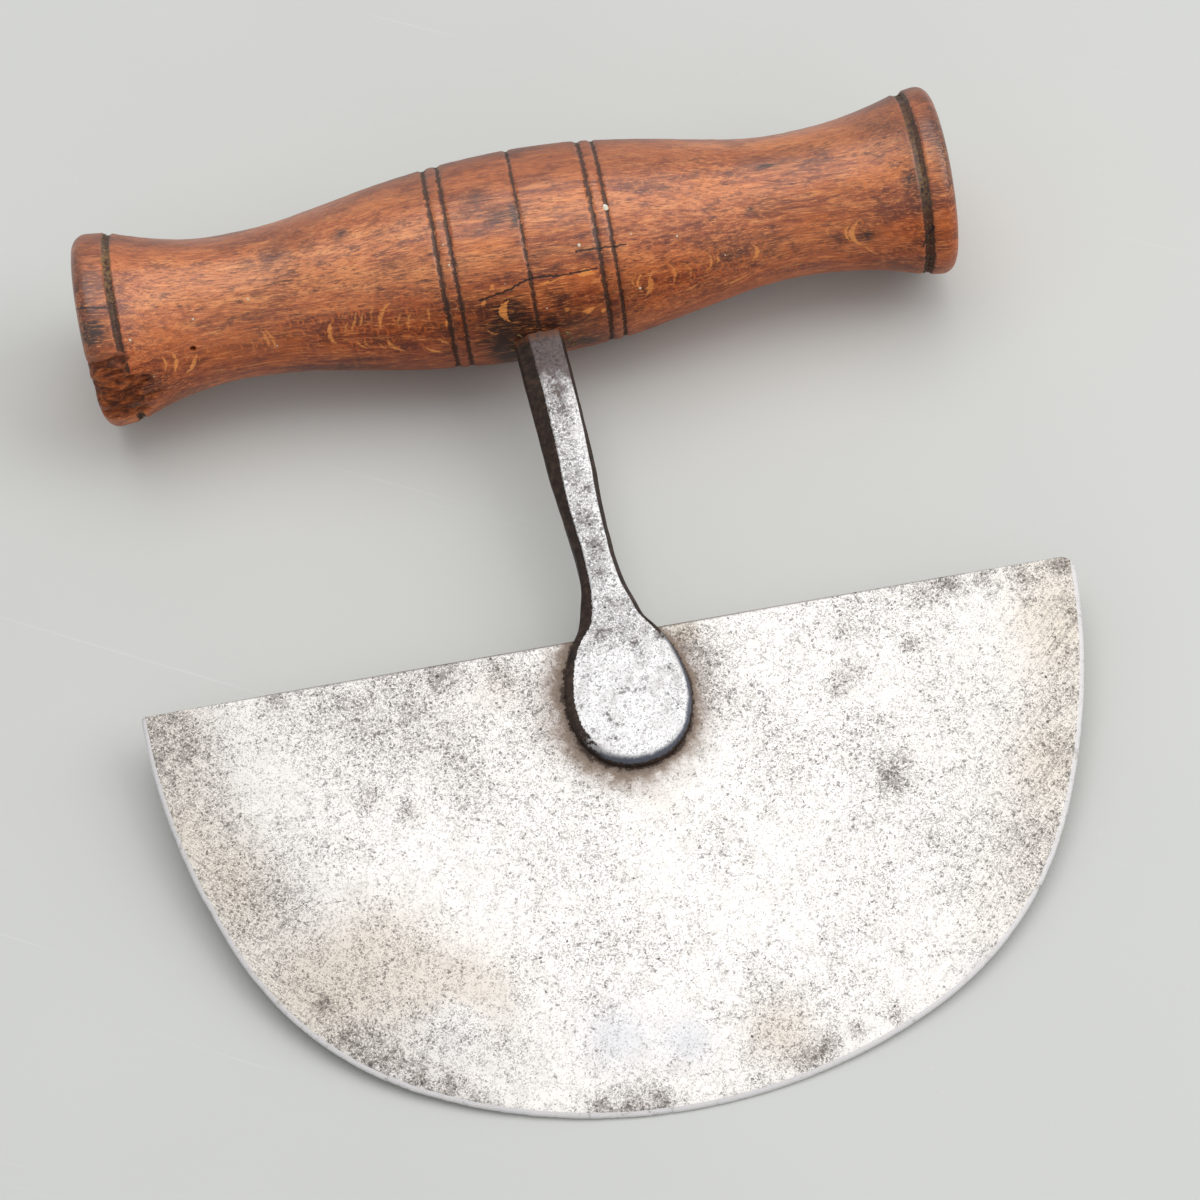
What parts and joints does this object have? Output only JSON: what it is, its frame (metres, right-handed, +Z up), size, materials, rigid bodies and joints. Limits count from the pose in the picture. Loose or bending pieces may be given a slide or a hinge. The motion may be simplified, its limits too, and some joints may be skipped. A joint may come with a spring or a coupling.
{
  "type": "mezzaluna",
  "caption": "Single-handled rocking chopper: half-moon steel blade riveted between the egg-shaped palms of a forged shank, whose tang runs up through a turned hardwood grip",
  "frame": {"origin": "Middle of the bounding box in X and Y, on the ground at its bottom; the tool lies on its back, resting on the handle's barrel and the curved edge", "axes": "+X along the handle towards its shorter end, +Y from the blade to the handle, +Z up out of the front"},
  "size_m": [0.1658, 0.1816, 0.0382],
  "materials": {
    "blade_steel": "satin, finely pitted, rust-stained round the shank",
    "forged_steel": "bright faces, brown chamfers, pitted",
    "turned_wood": "red-brown stained, worn, low gloss",
    "dark_iron": "dark, hammered"
  },
  "bodies": {
    "root": {"blade": "blade_steel", "shank": "forged_steel", "palm_rivets": "forged_steel", "handle": "turned_wood", "rove": "dark_iron"}
  },
  "joints": []
}
